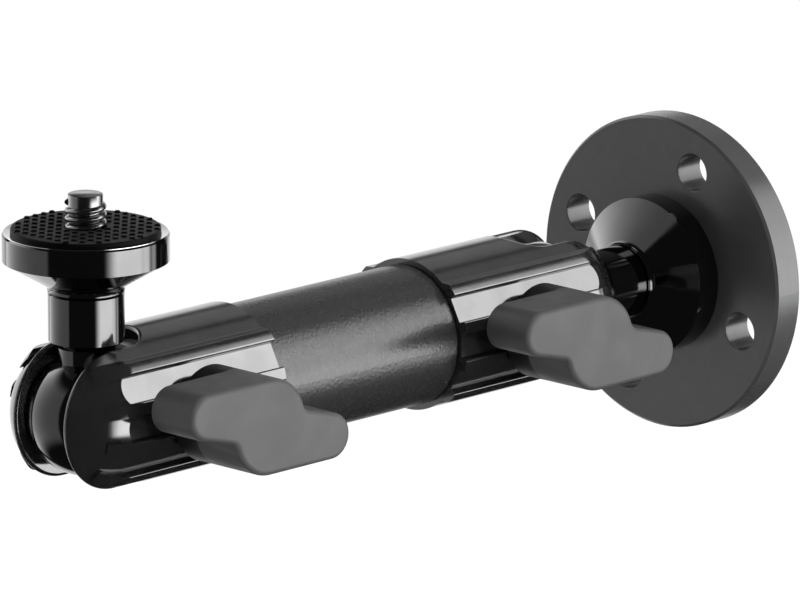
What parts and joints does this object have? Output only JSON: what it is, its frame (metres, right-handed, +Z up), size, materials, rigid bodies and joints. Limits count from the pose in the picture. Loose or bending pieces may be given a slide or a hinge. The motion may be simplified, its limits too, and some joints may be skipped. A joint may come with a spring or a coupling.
{
  "type": "camera wall bracket",
  "caption": "Wall plate with a short arm, a lockable ball clamp at each end and a round camera platform with a screw.",
  "frame": {"origin": "centre of the wall plate's back face, which lies on the wall", "axes": "+Y into the wall, the arm reaches out along -Y, +Z up, both clamp knobs face +X"},
  "size_m": [0.0517, 0.1455, 0.0604],
  "materials": {
    "gloss_black": "high gloss black coating",
    "plate_coat": "matte dark grey coating",
    "powder_black": "finely textured black powder coat",
    "knob_plastic": "matte dark grey moulded plastic",
    "pad_rubber": "black rubber with raised dashes",
    "bright_steel": "bright turned steel",
    "zinc_steel": "zinc plated steel",
    "insert_brass": "turned brass",
    "plunger_plastic": "natural acetal",
    "washer_plastic": "black nylon"
  },
  "bodies": {
    "base": {"wall_plate": "plate_coat", "wall_flange": "gloss_black", "wall_flange_bolt": "zinc_steel"},
    "wall_stud": {"wall_ball_stud": "gloss_black"},
    "arm": {"centre_tube": "powder_black", "wall_clamp_housing": "gloss_black", "camera_clamp_housing": "gloss_black", "wall_thread_insert": "insert_brass", "camera_thread_insert": "insert_brass"},
    "wall_washer": {"wall_knob_washer": "washer_plastic"},
    "wall_lock": {"wall_knob": "knob_plastic", "wall_lock_screw": "zinc_steel"},
    "wall_plunger": {"wall_pressure_plunger": "plunger_plastic"},
    "camera_washer": {"camera_knob_washer": "washer_plastic"},
    "camera_lock": {"camera_knob": "knob_plastic", "camera_lock_screw": "zinc_steel"},
    "camera_plunger": {"camera_pressure_plunger": "plunger_plastic"},
    "camera_stud": {"camera_ball_stud": "gloss_black"},
    "camera_head": {"camera_platform": "gloss_black", "camera_pad": "pad_rubber", "camera_screw": "bright_steel"}
  },
  "joints": [
    {"name": "wall_spin", "type": "hinge", "parent": "base", "child": "wall_stud", "pos_m": [0, -0.0334, 0], "axis": [0, 1, 0], "continuous": true},
    {"name": "wall_tilt", "type": "hinge", "parent": "wall_stud", "child": "arm", "pos_m": [0, -0.0334, 0], "axis": [1, 0, 0], "range_deg": [-90, 90]},
    {"name": "camera_tilt", "type": "hinge", "parent": "arm", "child": "camera_stud", "pos_m": [0, -0.1328, 0], "axis": [1, 0, 0], "range_deg": [-12, 192]},
    {"name": "camera_pan", "type": "hinge", "parent": "camera_stud", "child": "camera_head", "pos_m": [0, -0.1328, 0], "axis": [0, 0, 1], "continuous": true},
    {"name": "wall_knob_travel", "type": "slide", "parent": "arm", "child": "wall_washer", "axis": [1, 0, 0], "range_m": [0, 0.0008]},
    {"name": "wall_knob_turn", "type": "hinge", "parent": "wall_washer", "child": "wall_lock", "pos_m": [0, -0.0468, 0], "axis": [1, 0, 0], "range_deg": [0, 360]},
    {"name": "wall_plunger_travel", "type": "slide", "parent": "arm", "child": "wall_plunger", "axis": [0, -1, 0], "range_m": [0, 0.0004]},
    {"name": "camera_knob_travel", "type": "slide", "parent": "arm", "child": "camera_washer", "axis": [1, 0, 0], "range_m": [0, 0.0008]},
    {"name": "camera_knob_turn", "type": "hinge", "parent": "camera_washer", "child": "camera_lock", "pos_m": [0, -0.1194, 0], "axis": [1, 0, 0], "range_deg": [0, 360]},
    {"name": "camera_plunger_travel", "type": "slide", "parent": "arm", "child": "camera_plunger", "axis": [0, 1, 0], "range_m": [0, 0.0004]}
  ],
  "couplings": [
    {"joint": "wall_knob_travel", "follows": "wall_knob_turn", "m_per_rad": 0.000127},
    {"joint": "wall_plunger_travel", "follows": "wall_knob_turn", "m_per_rad": 0.0000635},
    {"joint": "camera_knob_travel", "follows": "camera_knob_turn", "m_per_rad": 0.000127},
    {"joint": "camera_plunger_travel", "follows": "camera_knob_turn", "m_per_rad": 0.0000635}
  ]
}
